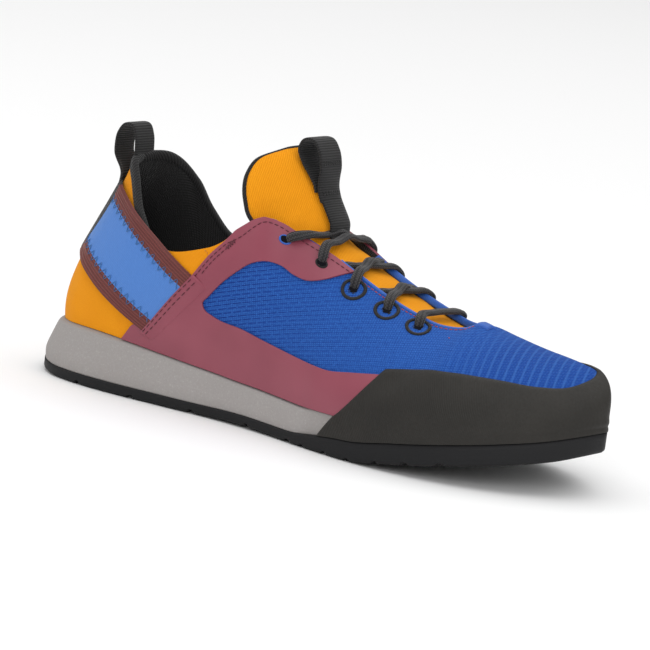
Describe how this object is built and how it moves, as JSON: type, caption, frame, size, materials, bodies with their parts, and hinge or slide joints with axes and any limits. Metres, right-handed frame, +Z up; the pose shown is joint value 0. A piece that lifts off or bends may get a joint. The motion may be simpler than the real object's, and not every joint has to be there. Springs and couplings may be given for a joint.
{
  "type": "approach shoe",
  "caption": "Low approach shoe for the right foot: knit upper with quarter overlays, toe rand, heel strap, padded tongue, laces, foam midsole and grooved rubber outsole.",
  "frame": {"origin": "under the middle of the shoe's bounding box, on the floor plane", "axes": "+X from heel to toe, +Y to the inner side of the foot, +Z up"},
  "size_m": [0.2944, 0.1016, 0.1327],
  "materials": {
    "sole_rubber": "matt black outsole rubber",
    "foam": "moulded grey foam with a fine speckle",
    "lining": "black lining mesh",
    "knit": "royal blue knit vamp, yellow heel and collar",
    "rand_rubber": "charcoal rubber with fine slanting lines",
    "overlay_film": "smooth maroon film with a soft sheen",
    "strap_elastic": "light blue elastic with maroon ribbed edges",
    "webbing": "black ribbed webbing",
    "tongue_fabric": "yellow orange twill over foam",
    "lace": "dark grey braided cord",
    "thread": "dense dark embroidery thread"
  },
  "bodies": {
    "root": {"outsole": "sole_rubber", "midsole": "foam", "insole": "lining", "upper": "knit", "toe_rand": "rand_rubber", "quarter_overlay_outer": "overlay_film", "quarter_overlay_inner": "overlay_film", "heel_strap_outer": "strap_elastic", "heel_strap_inner": "strap_elastic", "heel_patch": "webbing", "collar_binding": "webbing", "tongue": "tongue_fabric", "heel_pull_loop": "webbing", "tongue_pull_loop": "webbing", "lace_crossing_1": "lace", "lace_crossing_2": "lace", "lace_crossing_3": "lace", "lace_bar": "lace", "eyelet_outer_3": "thread", "eyelet_outer_4": "thread", "eyelet_outer_5": "thread", "eyelet_inner_3": "thread", "eyelet_inner_4": "thread", "eyelet_inner_5": "thread"}
  },
  "joints": []
}
